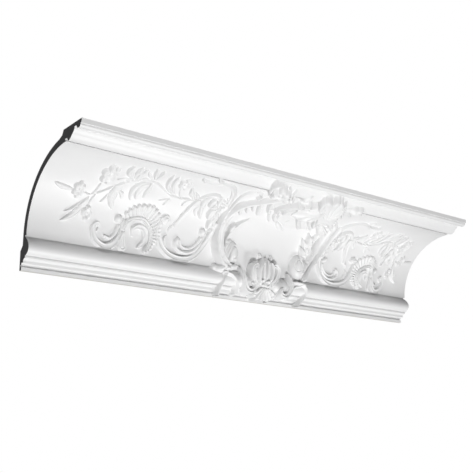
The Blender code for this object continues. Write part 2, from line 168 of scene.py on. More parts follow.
@dataclass(frozen=True)
class Section:
    """The straight moulding's section, in runs of (y, z) that are smooth within and meet at an edge."""

    upper: tuple[Line, ...] = (
        ((-221.0, 0.0), (-219.2, -7.6)),
        ((-219.2, -7.6), (-216.6, -7.4)),
        ((-216.6, -7.4), (-217.2, -9.4), (-216.4, -11.6), (-214.2, -13.3), (-211.2, -14.0), (-207.5, -13.6),
         (-205.4, -12.6)),
        ((-205.4, -12.6), (-202.0, -7.8)),
        ((-202.0, -7.8), (-196.4, -7.2)),
        ((-196.4, -7.2), (-195.8, -10.4), (-194.0, -13.2), (-191.0, -16.0), (-187.4, -18.4)),
        ((-187.4, -18.4), (-183.2, -22.5), (-178.4, -25.1), (-174.0, -25.6), (-171.8, -24.2)),
        ((-171.8, -24.2), (-170.6, -19.6)),
        ((-170.6, -19.6), (-162.5, -18.8)),
        ((-162.5, -18.8), (-162.5, -21.8)),
        ((-162.5, -21.8), (-166.0, -24.0)),
    )
    lower: tuple[Line, ...] = (
        ((-23.0, -157.0), (-17.2, -154.2)),
        ((-17.2, -154.2), (-17.8, -157.6)),
        ((-17.8, -157.6), (-19.0, -158.4)),
        ((-19.0, -158.4), (-26.4, -164.0), (-31.0, -168.8), (-34.0, -174.2), (-35.0, -179.8),
         (-33.6, -185.2), (-30.0, -189.2), (-25.0, -192.0), (-22.6, -192.6)),
        ((-22.6, -192.6), (-19.6, -190.9)),
        ((-19.6, -190.9), (-21.8, -193.8)),
        ((-21.8, -193.8), (-21.8, -196.2)),
        ((-21.8, -196.2), (-17.6, -197.4), (-14.2, -200.0)),
        ((-14.2, -200.0), (-14.0, -204.8)),
        ((-14.0, -204.8), (-7.6, -202.6)),
        ((-7.6, -202.6), (-7.6, -207.2)),
        ((-7.6, -207.2), (-3.4, -207.0)),
        ((-3.4, -207.0), (-3.4, -209.8)),
        ((-3.4, -209.8), (-7.4, -210.8)),
        ((-7.4, -210.8), (-7.0, -217.0)),
    )
    foot_back: Line = ((-7.0, -217.0), (0.0, -217.0), (0.0, -181.0), (-9.0, -172.0))
    top_face: Line = ((-150.0, -8.5), (-155.0, 0.0), (-221.0, 0.0))
    shell: float = 13.5
    back_end: float = math.radians(80.0)
    run_steps: int = 6
    cove_steps: int = 72
    back_steps: int = 24
    lowest: float = -24.0

    def drawn(self, runs: tuple[Line, ...]) -> list[np.ndarray]:
        """Draws each run smooth."""
        return [through(run, self.run_steps if len(run) > 2 else 1) for run in runs]

    def cove(self) -> np.ndarray:
        """Draws the cove from its top to its foot."""
        v = np.linspace(COVE.top, 0.0, self.cove_steps + 1)
        return np.column_stack(COVE.section(v, np.zeros_like(v)))

    def back(self) -> np.ndarray:
        """Draws the back of the shell from its foot to its top.

        Returns:
            Its points as (y, z).
        """
        angle = np.linspace(0.0, self.back_end, self.back_steps + 1)
        y = COVE.centre_y + (COVE.reach + self.shell) * np.cos(angle)
        z = COVE.centre_z + (COVE.rise + self.shell) * np.sin(angle)
        return np.column_stack([y, z])

    def ground(self, v: np.ndarray) -> np.ndarray:
        """Finds the height of the moulding's own face, the outermost one where it folds back.

        Args:
            v: Lengths along the cove's curve.

        Returns:
            The face's heights off the cove.
        """
        lower = np.vstack(self.drawn(self.lower[1:]))
        upper = np.vstack(self.drawn(self.upper))
        foot_y, foot_z = COVE.centre_y + COVE.reach, COVE.centre_z
        head_y, head_z = COVE.centre_y, COVE.centre_z + COVE.rise
        below = np.column_stack([lower[:, 1] - foot_z, foot_y - lower[:, 0]])
        above = np.column_stack([COVE.top + head_y - upper[:, 0], head_z - upper[:, 1]])
        face = np.where((v >= 0.0) & (v <= COVE.top), 0.0, self.lowest)
        for line in (below, above):
            for (v0, h0), (v1, h1) in zip(line, line[1:]):
                crossed = (v >= min(v0, v1)) & (v <= max(v0, v1)) & ((v < 0.0) | (v > COVE.top))
                level = h0 + (v - v0) / (v1 - v0 or 1.0) * (h1 - h0)
                face = np.where(crossed, np.maximum(face, level), face)
        return face


SECTION = Section()


class Lift(Enum):
    """The ground that a motif stands on, as heights against v."""

    COVE = ((0.0, 0.0),)
    CREST = ((105.0, 2.0), (120.0, 6.0), (150.0, 13.0), (170.0, 17.0), (190.0, 19.0), (205.0, 18.0),
             (217.0, 14.0), (237.0, 2.0), (251.0, -8.0))
    RIM = ((190.0, 0.0), (217.0, 1.0), (226.0, 2.0), (237.0, -4.0), (251.0, -9.0))
    PALMETTE = ((-60.0, 1.0), (-48.0, 4.0), (-36.0, 8.0), (-22.0, 11.5), (0.0, 16.0), (22.0, 16.0),
                (40.0, 11.0))

    def at(self, v: np.ndarray) -> np.ndarray:
        """Reads the ground's height at v."""
        return np.interp(v, [pair[0] for pair in self.value], [pair[1] for pair in self.value])


def flank(x: np.ndarray, share: float) -> np.ndarray:
    """Rounds off the two edges of a band.

    Args:
        x: The place across it, -1 to 1.
        share: How much of each half the rounded edge takes.

    Returns:
        1 in the middle, falling to 0 at each edge.
    """
    t = np.clip((1.0 - np.abs(x)) / share, 0.0, 1.0)
    return np.sqrt(np.clip(1.0 - (1.0 - t) ** 2, 0.0, 1.0))


def bump_at(x: np.ndarray, middle: float, width: float) -> np.ndarray:
    """A smooth bump of height 1 at middle."""
    return np.exp(-(((x - middle) / width) ** 2))


@dataclass(frozen=True)
class Profile:
    """A cross-section, in shares of a band's half width and rise.

    Attributes:
        edge: How much of each half its rounded edge takes.
        peak: The power that a pointed top falls off by, or 0 for a rounded edge.
        level: The height of its face.
        roll: The height of a roll on the face, or of a groove where it is below 0.
        middle: Where across the band the roll is.
        width: How wide the roll is.
        both: Whether each half has the roll.
        hollow: How much the face rises from its middle to its edges.
    """

    edge: float = 1.0
    peak: float = 0.0
    level: float = 1.0
    roll: float = 0.0
    middle: float = 0.0
    width: float = 1.0
    both: bool = False
    hollow: float = 0.0


class Cut(Enum):
    """The cross-section of a band, as the carver cuts it."""

    ROUND = Profile()
    RIDGE = Profile(peak=0.8)
    SCROLL = Profile(edge=0.34, level=0.74, roll=0.26, middle=0.68, width=0.2, both=True)
    ROLLED_LEFT = Profile(edge=0.3, level=0.5, roll=0.5, middle=0.55, width=0.45)
    ROLLED_RIGHT = Profile(edge=0.3, level=0.5, roll=0.5, middle=-0.55, width=0.45)
    TWIN = Profile(edge=0.3, roll=-0.55, width=0.22)
    CORD = Profile(edge=0.4, roll=-0.35, middle=0.36, width=0.12, both=True)
    DISH = Profile(edge=0.14, level=0.6, hollow=0.4)

    def height(self, x: np.ndarray) -> np.ndarray:
        """Finds the section's height.

        Args:
            x: The place across it, -1 at its right edge to 1 at its left edge, seen along the line.

        Returns:
            Heights, as shares of the band's rise.
        """
        cut = self.value
        face = (1.0 - np.abs(x)) ** cut.peak if cut.peak else flank(x, cut.edge)
        at = np.abs(x) if cut.both else x
        return face * (cut.level + cut.roll * bump_at(at, cut.middle, cut.width) + cut.hollow * x**2)


@dataclass
class Relief:
    """A patch of carving: a height for each place of a fine grid laid on the cove."""

    low: Place
    high: Place
    stop_depth: float
    stop_width: float
    pitch: float = 0.8
    sink: float = 1.3
    show: float = -0.4
    u: np.ndarray = field(init=False)
    v: np.ndarray = field(init=False)
    ground: np.ndarray = field(init=False)
    height: np.ndarray = field(init=False)

    def __post_init__(self) -> None:
        """Lays the grid, with nothing carved yet."""
        self.u = np.arange(self.low[0], self.high[0] + self.pitch / 2, self.pitch)
        self.v = np.arange(self.low[1], self.high[1] + self.pitch / 2, self.pitch)
        bed = SECTION.ground(self.v) - self.sink
        self.ground = np.repeat(bed[:, None], len(self.u), axis=1)
        self.height = self.ground.copy()

    def near(self, low: Place, high: Place) -> Part:
        """Finds the part of the grid in a box.

        Args:
            low: The box's lowest u and v.
            high: Its highest.

        Returns:
            Slices of the grid's rows and columns.
        """
        rows = slice(*np.searchsorted(self.v, [low[1], high[1]]))
        columns = slice(*np.searchsorted(self.u, [low[0], high[0]]))
        return rows, columns

    def places(self, part: Part) -> tuple[np.ndarray, np.ndarray]:
        """Finds u and v for a part of the grid."""
        return np.meshgrid(self.u[part[1]], self.v[part[0]])

    def stack(self, part: Part, height: np.ndarray, inside: np.ndarray) -> None:
        """Adds a form over what is there, so that the higher one shows.

        Args:
            part: The part of the grid that it is on.
            height: Its heights.
            inside: Where it is.
        """
        there = self.height[part]
        self.height[part] = np.where(inside, np.maximum(there, height), there)

    def cut_away(self, part: Part, depth: np.ndarray) -> None:
        """Takes a depth off what is there, down to the moulding's own face."""
        self.height[part] = np.maximum(self.height[part] - depth, self.ground[part])

    def cut_in(self, part: Part, beyond: np.ndarray) -> None:
        """Cuts into what is there just past a form's edge, as a carver's stop cut does.

        Args:
            part: The part of the grid round the form.
            beyond: How far past its edge each place is.
        """
        near = np.clip(1.0 - beyond / self.stop_width, 0.0, 1.0)
        self.cut_away(part, np.where(beyond > 0.0, self.stop_depth * near, 0.0))

    def soften(self, passes: int) -> None:
        """Softens the carving's edges, as casting and primer do.

        Args:
            passes: How often neighbouring heights are evened out.
        """
        carved = self.height > self.ground
        near = carved.copy()
        for axis in (0, 1):
            near |= np.roll(carved, 1, axis) | np.roll(carved, -1, axis)
        for _ in range(passes):
            for axis in (0, 1):
                before = np.roll(self.height, 1, axis)
                after = np.roll(self.height, -1, axis)
                edge = [slice(None), slice(None)]
                edge[axis] = slice(1, -1)
                inner = tuple(edge)
                self.height[inner] = (self.height * 2 + before + after)[inner] / 4
        self.height = np.where(near, self.height, self.ground)

    def mesh(self, name: str, turned: Spot | None = None) -> bpy.types.Object:
        """Makes the patch's mesh where it stands above the moulding's face.

        Args:
            name: The piece's name.
            turned: Where the places of the grid go on the other side, for a patch that is turned over.

        Returns:
            The new piece.
        """
        above = self.height - self.ground - self.sink
        high = np.maximum.reduce([above[:-1, :-1], above[1:, :-1], above[:-1, 1:], above[1:, 1:]])
        rows, columns = np.nonzero(high > self.show)
        wide = len(self.u)
        corner = rows * wide + columns
        quads = np.column_stack([corner, corner + 1, corner + wide + 1, corner + wide])
        used, faces = np.unique(quads, return_inverse=True)
        faces = faces.reshape(quads.shape)
        u, v = self.u[used % wide], self.v[used // wide]
        if turned:
            faces = faces[:, ::-1]
            u, v = turned(u, v)
        points = COVE.place(u, v, self.height.ravel()[used])
        return solid_mesh(name, points, faces)


def solid_mesh(name: str, points: np.ndarray, faces: np.ndarray | list[list[int]]) -> bpy.types.Object:
    """Makes a smooth-shaded piece.

    Args:
        name: The piece's name.
        points: Its points in metres.
        faces: The points of each face.

    Returns:
        The new piece, linked to the scene.
    """
    mesh = bpy.data.meshes.new(name)
    mesh.from_pydata(points.tolist(), [], faces.tolist() if isinstance(faces, np.ndarray) else faces)
    mesh.polygons.foreach_set("use_smooth", [True] * len(mesh.polygons))
    piece = bpy.data.objects.new(name, mesh)
    bpy.context.scene.collection.objects.link(piece)
    return piece


class Motif(ABC):
    """One form of the carving."""

    @abstractmethod
    def carve(self, relief: Relief) -> None:
        """Adds the form to a patch of carving."""


@dataclass(frozen=True)
class Trace:
    """How the grid lies to a line: the distance to its left, and the share of the way along it."""

    part: Part
    v: np.ndarray
    aside: np.ndarray
    share: np.ndarray
    length: float

    @classmethod
    def of(cls, relief: Relief, line: np.ndarray, reach: float) -> Trace:
        """Measures the grid against a line.

        Args:
            relief: The patch.
            line: The line's points.
            reach: How far to its sides to look.

        Returns:
            The measured part of the grid.
        """
        low, high = line.min(0) - reach, line.max(0) + reach
        part = relief.near((low[0], low[1]), (high[0], high[1]))
        u, v = relief.places(part)
        nearest = np.full(u.shape, np.inf)
        aside = np.zeros(u.shape)
        share = np.zeros(u.shape)
        steps = np.hypot(*np.diff(line, axis=0).T)
        gone = np.concatenate([[0.0], np.cumsum(steps)])
        for (a, b), step, start in zip(zip(line, line[1:]), steps, gone):
            along = (b - a) / max(step, TINY)
            du, dv = u - a[0], v - a[1]
            t = np.clip(du * along[0] + dv * along[1], 0.0, step)
            off = np.hypot(du - t * along[0], dv - t * along[1])
            closer = off < nearest
            side = np.where(along[0] * dv - along[1] * du >= 0.0, 1.0, -1.0)
            nearest = np.where(closer, off, nearest)
            aside = np.where(closer, side * off, aside)
            share = np.where(closer, (start + t) / gone[-1], share)
        return cls(part, v, aside, share, float(gone[-1]))


@dataclass(frozen=True)
class Band(Motif):
    """A stem, scroll or roll that follows a line."""

    line: Line
    halves: Sizes
    rises: Sizes
    cut: Cut = Cut.ROUND
    notches: float = 0.0
    notch_size: float = 0.3
    tilt: float = 0.0

    def carve(self, relief: Relief) -> None:
        """Sweeps the section along the line.

        Args:
            relief: The patch that it is carved on.
        """
        trace = Trace.of(relief, through(self.line, LINE_STEPS), max(self.halves) + relief.stop_width)
        half = spread(self.halves, trace.share)
        relief.cut_in(trace.part, np.abs(trace.aside) - half)
        x = trace.aside / np.maximum(half, TINY)
        form = self.cut.height(np.clip(x, -1.0, 1.0))
        if self.notches:
            beat = np.sin(math.pi * trace.share * trace.length / self.notches) ** 2
            form = form * (1.0 - self.notch_size * beat * bump_at(x, 0.0, self.notch_size))
        height = spread(self.rises, trace.share) * form + self.tilt * x
        relief.stack(trace.part, height, np.abs(x) < 1.0)


@dataclass(frozen=True)
class Leaf(Motif):
    """A pointed leaf, hollowed along its midrib, with side veins and a lobed edge.

    After the lift, its shape is given in shares of its length, of its width and of its rise, and in powers.
    """

    base: Place
    bend: Place
    tip: Place
    width: float
    rise: float
    lobes: int = 0
    lift: Lift = Lift.COVE
    widest: float = 0.45
    curl: float = 0.25
    depth: float = 0.3
    steps: int = 24
    reach: float = 0.62
    outline_power: float = 0.75
    stalk: float = 0.12
    fade: float = 0.12
    lobe_lean: float = 0.12
    lobe_root: float = 0.84
    lobe_swell: float = 0.24
    lobe_power: float = 0.6
    flat_power: float = 2.6
    edge_power: float = 0.6
    midrib: float = 0.16
    vein: float = 0.22
    vein_slope: float = 1.6
    level: float = 0.72
    curl_span: float = 0.9
    tip_rise: float = 0.1

    def carve(self, relief: Relief) -> None:
        """Sweeps the leaf's section along its midrib.

        Args:
            relief: The patch that it is carved on.
        """
        base, bend, tip = (np.array(p) for p in (self.base, self.bend, self.tip))
        t = np.linspace(0.0, 1.0, self.steps + 1)[:, None]
        line = (1 - t) ** 2 * base + 2 * t * (1 - t) * bend + t**2 * tip
        trace = Trace.of(relief, line, self.width * self.reach + relief.stop_width)
        s = trace.share
        power = math.log(0.5) / math.log(self.widest)
        shape = np.sin(math.pi * np.clip(s, 0.0, 1.0) ** power) ** self.outline_power
        half = self.width / 2 * np.maximum(shape, self.stalk * (1.0 - s))
        lean = s - self.lobe_lean * np.abs(trace.aside) / self.width
        if self.lobes:
            phase = (lean * self.lobes) % 1.0
            half = half * (self.lobe_root + self.lobe_swell * np.sin(math.pi * phase) ** self.lobe_power)
        relief.cut_in(trace.part, np.abs(trace.aside) - half)
        x = trace.aside / np.maximum(half, TINY)
        inside = (np.abs(x) < 1.0) & (s > 0.0) & (s < 1.0)
        x = np.clip(x, -1.0, 1.0)
        form = (1.0 - np.abs(x) ** self.flat_power) ** self.edge_power
        form *= 1.0 - self.depth * bump_at(x, 0.0, self.midrib)
        if self.lobes:
            outward = np.clip(np.abs(x) * self.vein_slope, 0.0, 1.0)
            form *= 1.0 - self.vein * (1.0 - np.sin(math.pi * phase)) * outward
        along = self.level + self.curl * np.sin(math.pi * s * self.curl_span) + self.tip_rise * s
        along *= np.clip((1.0 - s) / self.fade, 0.0, 1.0) ** 0.5
        relief.stack(trace.part, self.lift.at(trace.v) + self.rise * along * form, inside)


@dataclass(frozen=True)
class Round(Motif):
    """A form round a centre: a box of the grid with the angle and the share of the way out."""

    centre: Place
    half_u: float
    half_v: float
    rise: float
    lift: Lift = Lift.COVE

    def polar(self, relief: Relief) -> tuple[Part, np.ndarray, np.ndarray, np.ndarray]:
        """Measures the grid round the centre.

        Args:
            relief: The patch.

        Returns:
            The part of the grid, v, the angle, and the share of the way out.
        """
        (u0, v0), a, b = self.centre, self.half_u, self.half_v
        margin = relief.stop_width
        part = relief.near((u0 - a - margin, v0 - b - margin), (u0 + a + margin, v0 + b + margin))
        u, v = relief.places(part)
        x, y = (u - u0) / a, (v - v0) / b
        return part, v, np.arctan2(y, x), np.hypot(x, y)


@dataclass(frozen=True)
class Knob(Round):
    """A round or egg-shaped boss, plain or with a spiral groove."""

    turns: float = 0.0
    groove: float = 0.35
    groove_width: float = 0.13
    groove_end: float = 5.0
    fullness: float = 2.4
    edge_power: float = 0.55

    def carve(self, relief: Relief) -> None:
        """Raises the boss.

        Args:
            relief: The patch that it is carved on.
        """
        part, v, angle, out = self.polar(relief)
        relief.cut_in(part, (out - 1.0) * min(self.half_u, self.half_v))
        form = np.clip(1.0 - out**self.fullness, 0.0, 1.0) ** self.edge_power
        if self.turns:
            phase = (out * self.turns - angle / math.tau) % 1.0
            cut = self.groove * bump_at(phase, 0.5, self.groove_width)
            form *= 1.0 - cut * np.clip((1.0 - out) * self.groove_end, 0.0, 1.0)
        relief.stack(part, self.lift.at(v) + self.rise * form, out < 1.0)


@dataclass(frozen=True)
class Flower(Round):
    """An open flower: petals round a hollow with a seed head."""

    petals: int = 5
    turn: float = 90.0
    notch: float = 0.62
    petal_power: float = 0.55
    petal_root: float = 0.72
    petal_swell: float = 0.28
    cup_at: Sizes = (0.0, 0.22, 0.55, 0.8, 1.0)
    cup_height: Sizes = (0.35, 0.4, 0.95, 1.0, 0.0)
    seed_size: float = 0.24
    seed_height: float = 0.85

    def carve(self, relief: Relief) -> None:
        """Raises the petals and the seed head.

        Args:
            relief: The patch that it is carved on.
        """
        part, v, angle, out = self.polar(relief)
        beat = np.abs(np.cos((angle - math.radians(self.turn)) * self.petals / 2))
        edge = self.notch + (1.0 - self.notch) * beat**self.petal_power
        x = out / edge
        relief.cut_in(part, (x - 1.0) * edge * min(self.half_u, self.half_v))
        cup = np.interp(x, self.cup_at, self.cup_height)
        cup = cup * (self.petal_root + self.petal_swell * np.sqrt(beat))
        seed = np.sqrt(np.clip(1.0 - (out / self.seed_size) ** 2, 0.0, 1.0)) * self.seed_height
        relief.stack(part, self.lift.at(v) + self.rise * np.maximum(cup, seed), x < 1.0)


@dataclass(frozen=True)
class Fan(Motif):
    """A fan of shell flutes between two radii."""

    centre: Place
    inner: Sizes
    outer: Sizes
    angles: Place
    flutes: int
    rise: float
    lift: Lift = Lift.COVE
    groove: float = 0.55
    dish: float = 0.0
    edge: float = 0.22
    margin: float = 1.05
    scallop_root: float = 0.93
    scallop_swell: float = 0.09
    scallop_power: float = 0.7
    flute_power: float = 0.8

    def carve(self, relief: Relief) -> None:
        """Raises the flutes.

        Args:
            relief: The patch that it is carved on.
        """
        u0, v0 = self.centre
        reach = max(self.outer) * self.margin
        part = relief.near((u0 - reach, v0 - reach), (u0 + reach, v0 + reach))
        u, v = relief.places(part)
        radius = np.hypot(u - u0, v - v0)
        first, last = (math.radians(a) for a in self.angles)
        angle = np.arctan2(v - v0, u - u0)
        middle = (first + last) / 2
        angle = (angle - middle + math.pi) % math.tau - math.pi + middle
        share = (angle - first) / (last - first)
        inside = (share > 0.0) & (share < 1.0)
        share = np.clip(share, 0.0, 1.0)
        beat = np.sin(math.pi * ((share * self.flutes) % 1.0))
        near = spread(self.inner, share)
        far = spread(self.outer, share) * (self.scallop_root + self.scallop_swell * beat**self.scallop_power)
        t = (radius - near) / np.maximum(far - near, TINY)
        inside &= (t > 0.0) & (t < 1.0)
        t = np.clip(t, 0.0, 1.0)
        form = (1.0 - self.groove + self.groove * beat**self.flute_power) * flank(t * 2 - 1, self.edge)
        form *= 1.0 - self.dish * np.sin(math.pi * t)
        relief.stack(part, self.lift.at(v) + self.rise * form, inside)


@dataclass(frozen=True)
class Pits(Motif):
    """Small hollows that the carver drills between forms."""

    centres: Line
    radius: float = 2.6
    depth: float = 9.0

    def carve(self, relief: Relief) -> None:
        """Drills the hollows.

        Args:
            relief: The patch that it is carved on.
        """
        for u0, v0 in self.centres:
            part = relief.near((u0 - self.radius, v0 - self.radius), (u0 + self.radius, v0 + self.radius))
            u, v = relief.places(part)
            out = np.hypot(u - u0, v - v0) / self.radius
            relief.cut_away(part, self.depth * np.clip(1.0 - out**2, 0.0, 1.0))


@dataclass(frozen=True)
class Groove(Motif):
    """A thin line that the carver cuts into a form."""

    line: Line
    half: float
    depth: float
    taper: float = 6.0

    def carve(self, relief: Relief) -> None:
        """Cuts the line.

        Args:
            relief: The patch that it is carved on.
        """
        trace = Trace.of(relief, through(self.line, LINE_STEPS), self.half)
        ends = np.clip(np.minimum(trace.share, 1.0 - trace.share) * self.taper, 0.0, 1.0)
        across = np.clip(trace.aside / self.half, -1.0, 1.0)
        relief.cut_away(trace.part, self.depth * ends * flank(across, 1.0))


@dataclass(frozen=True)
class Pad(Motif):
    """A broad rounded ground within an outline, for other forms to lie on."""

    outline: Line
    lift: Lift
    ease: float
    lean: float = 0.0
    steps: int = 6

    def carve(self, relief: Relief) -> None:
        """Raises the ground, falling away towards the outline.

        Args:
            relief: The patch that it is carved on.
        """
        edge = through((*self.outline, self.outline[0]), self.steps)
        trace = Trace.of(relief, edge, relief.stop_width)
        u, v = relief.places(trace.part)
        crossings = np.zeros(u.shape, int)
        for (u0, v0), (u1, v1) in zip(edge, edge[1:]):
            spans = (v0 <= v) != (v1 <= v)
            if v1 != v0:
                crossings += spans & (u < u0 + (v - v0) / (v1 - v0) * (u1 - u0))
        t = np.clip(np.abs(trace.aside) / self.ease, 0.0, 1.0)
        fall = 1.0 - np.sqrt(1.0 - (1.0 - t) ** 2)
        bed = relief.ground[trace.part]
        full = self.lift.at(v) + self.lean * (u - edge[:, 0].mean())
        relief.stack(trace.part, bed + (full - bed) * (1.0 - fall), crossings % 2 == 1)


class SubAssembly(ABC):
    """A part of the moulding that is made as pieces of its own."""

    @abstractmethod
    def build(self) -> list[bpy.types.Object]:
        """Makes its pieces."""

    def dress(self, piece: bpy.types.Object) -> None:
        """Gives a piece the front's primer."""
        piece.data.materials.append(WhitePrimer().material())


@dataclass
class Carving(SubAssembly):
    """A part that is carved as one patch on the cove."""

    name: str
    low: Place
    high: Place
    stop_depth: float = 6.0
    stop_width: float = 2.8
    softening: int = 1

    @abstractmethod
    def motifs(self) -> Iterable[Motif]:
        """Gives its forms in the order that they are carved in."""

    def carved(self) -> Relief:
        """Carves the patch.

        Returns:
            The patch with every form on it.
        """
        relief = Relief(self.low, self.high, self.stop_depth, self.stop_width)
        for motif in self.motifs():
            motif.carve(relief)
        relief.soften(self.softening)
        return relief

    def build(self) -> list[bpy.types.Object]:
        """Makes the patch's piece."""
        return [self.carved().mesh(self.name)]


@dataclass
class Spray(Carving):
    """One side's run of stems, leaves, flowers and scrolls; the right side is the left one turned over."""

    name: str = "left_spray"
    low: Place = (20.0, 0.0)
    high: Place = (402.0, 224.0)
    turned_name: str = "right_spray"
    turned_from: Sizes = (28, 78, 124, 155, 190, 222, 267, 320, 395)
    turned_to: Sizes = (979, 944, 913, 888, 869, 848, 804, 749, 684)
    turned_rise: float = 0.87
    turned_lean: float = 0.2
    lean_from: float = 50.0
    stems: tuple[Motif, ...] = (
        Band(((92, 99), (104, 97), (120, 106), (137, 121), (152, 136), (170, 148), (192, 156), (215, 155),
              (238, 144), (258, 134), (280, 131), (304, 132), (324, 136)), (1.8, 2.2, 2.8, 3.0, 3.4),
             (4.5, 5.0)),
        Band(((107, 99), (112, 112), (114, 125)), (1.8, 2.4), (4.0, 4.5)),
        Band(((113, 98), (109, 86), (105, 74)), (2.0, 1.8), (4.0,)),
        Band(((141, 142), (151, 148), (168, 149)), (2.0, 2.6), (4.0,)),
        Band(((282, 134), (276, 144), (271, 158)), (1.8, 2.2), (4.0,)),
        Band(((280, 131), (264, 125), (256, 116)), (1.5, 1.2), (3.0,)),
        Band(((180, 155), (196, 162), (210, 163)), (1.8, 2.2), (4.5,)),
    )
    leaves: tuple[Motif, ...] = (
        Leaf((68, 101), (47, 99), (28, 109), 12, 5.0),
        Leaf((103, 94), (90, 62), (62, 56), 12, 6.0),
        Leaf((103, 92), (90, 50), (57, 37), 14, 6.5),
        Leaf((141, 120), (141, 98), (126, 85), 8, 4.5),
        Leaf((157, 139), (136, 100), (159, 75), 18, 7.0, lobes=3),
        Leaf((154, 118), (168, 112), (164, 101), 9, 5.0),
        Leaf((168, 152), (144, 168), (153, 190), 14, 7.0),
        Leaf((170, 152), (170, 175), (166, 192), 12, 6.0),
        Leaf((173, 152), (182, 174), (178, 189), 12, 5.5),
        Leaf((207, 162), (196, 166), (186, 180), 8, 5.0),
        Leaf((209, 162), (203, 178), (194, 198), 10, 6.5),
        Leaf((211, 162), (217, 178), (211, 196), 11, 6.5),
        Leaf((204, 154), (172, 138), (185, 101), 13, 7.0),
        Leaf((206, 152), (184, 128), (195, 106), 13, 7.5),
        Leaf((208, 152), (216, 132), (207, 112), 12, 6.0),
        Leaf((266, 136), (234, 148), (236, 192), 11, 7.0),
        Leaf((268, 137), (246, 156), (249, 192), 9, 6.0),
        Leaf((320, 136), (297, 142), (295, 166), 11, 6.0),
        Leaf((328, 137), (317, 142), (310, 153), 8, 5.0),
        Leaf((308, 133), (300, 125), (296, 111), 8, 4.5),
        Leaf((268, 126), (256, 118), (242, 114), 6, 3.5),
        Leaf((264, 124), (263, 114), (256, 105), 7, 3.5),
        Leaf((312, 192), (298, 190), (294, 206), 11, 6.0),
        Leaf((345, 201), (334, 203), (319, 220), 10, 6.5),
        Leaf((350, 156), (331, 124), (353, 91), 15, 7.5),
        Leaf((330, 130), (330, 112), (337, 96), 9, 5.0),
        Leaf((302, 72), (290, 66), (287, 52), 7, 5.0),
        Leaf((292, 20), (278, 36), (288, 49), 10, 6.0),
        Leaf((369, 158), (374, 118), (386, 62), 26, 11.0, lobes=5),
        Leaf((364, 150), (352, 140), (356, 124), 13, 9.5),
        Leaf((374, 126), (362, 114), (367, 96), 13, 10.0),
        Leaf((382, 104), (372, 90), (375, 74), 11, 10.0),
        Leaf((394, 138), (383, 148), (374, 153), 5, 6.5),
        Leaf((394, 135), (382, 140), (372, 142), 5, 6.5),
        Leaf((394, 131), (384, 131), (374, 128), 5, 6.5),
        Leaf((395, 140), (388, 150), (382, 160), 5, 6.5),
    )
    flowers: tuple[Motif, ...] = (
        Flower((78, 103), 13, 20, 7.5, petals=6),
        Flower((120, 151), 18, 28, 8.5, petals=6, turn=110),
        Flower((108, 60), 11, 17, 6.5, petals=4, turn=80),
        Flower((272, 171), 13, 18, 7.5),
    )
    scrolls: tuple[Motif, ...] = (
        Band(((279, 71), (283, 78), (276, 85), (268, 76), (266, 60), (269, 42), (281, 20), (300, 7), (325, 3),
              (347, 8), (364, 22), (378, 43), (387, 66), (391, 90)), (3, 6, 7, 7, 7, 6, 5),
             (6.5, 7.5, 7.5, 8, 9), Cut.SCROLL),
        Band(((314, 44), (309, 37), (312, 26), (324, 19), (340, 18), (355, 27), (367, 45), (374, 64)),
             (4, 4, 4.5, 5, 4), (7.5, 6.5, 7, 8)),
        Band(((319, 42), (325, 31), (338, 27), (352, 33), (362, 46), (367, 58)), (2.5, 3.5, 3), (5.5, 6)),
        Band(((136, 32), (140, 39), (134, 46), (127, 38), (129, 22), (139, 9), (155, 3), (170, 9), (181, 24),
              (187, 42), (189, 58)), (2.5, 5, 7, 7.5, 6, 5), (5, 6.5, 7, 6.5), Cut.SCROLL),
        Band(((153, 24), (163, 22), (171, 29), (176, 42), (178, 56)), (2.5, 4, 4.5), (5, 6.5)),
        Band(((192, 50), (191, 36), (191, 24), (192, 9)), (3, 4, 7, 10), (6, 6, 6, 5), Cut.CORD),
        Band(((189, 44), (193, 58), (206, 68), (224, 70), (240, 60), (249, 42), (248, 22), (241, 6)),
             (4, 4.5, 4), (8, 9), Cut.TWIN),
        Band(((212, 34), (210, 47), (220, 54), (233, 50), (239, 37), (237, 23), (226, 12)),
             (2.5, 5, 6.5, 6, 3), (7, 9, 8, 6), Cut.SCROLL),
        Band(((300, 197), (318, 195), (340, 201), (362, 198), (380, 184), (390, 163), (394, 140)),
             (4, 6, 7, 5, 4), (7, 8, 9), Cut.ROLLED_LEFT),
        Band(((324, 134), (335, 150), (350, 159), (364, 155), (372, 138)), (3, 5, 4), (6, 8, 8),
             Cut.ROLLED_LEFT),
        Band(((326, 132), (317, 110), (309, 90), (299, 68)), (7, 5.5, 4), (6.5, 6.5, 5), Cut.SCROLL),
    )
    knobs: tuple[Motif, ...] = (
        Knob((276, 79), 9, 9, 10.0, turns=1.2),
        Knob((175, 61), 8.5, 9, 9.0),
        Knob((367, 67), 7, 9, 10.5),
    )
    comb: Fan = Fan((222, 38), (36, 35, 30, 27, 25, 26, 32), (52, 60, 66, 60, 51, 43, 43),
                    (138, -52), 19, 7.0)

    def motifs(self) -> Iterable[Motif]:
        """Gives its forms in the order that they are carved in."""
        return *self.stems, self.comb, *self.leaves, *self.flowers, *self.scrolls, *self.knobs

    def turned(self, u: np.ndarray, v: np.ndarray) -> tuple[np.ndarray, np.ndarray]:
        """Finds where the right side has places of the left side.

        Args:
            u: The left side's places along the moulding.
            v: Their lengths up the cove.

        Returns:
            The right side's u and v.
        """
        (start, second), (end, before) = self.turned_from[:2], self.turned_to[:2]
        beyond = end + (before - end) / (second - start) * (u - start)
        there = np.where(u < start, beyond, np.interp(u, self.turned_from, self.turned_to))
        return there + self.turned_lean * np.maximum(v - self.lean_from, 0.0), v * self.turned_rise

    def build(self) -> list[bpy.types.Object]:
        """Makes the left and the right spray."""
        relief = self.carved()
        return [relief.mesh(self.name), relief.mesh(self.turned_name, self.turned)]


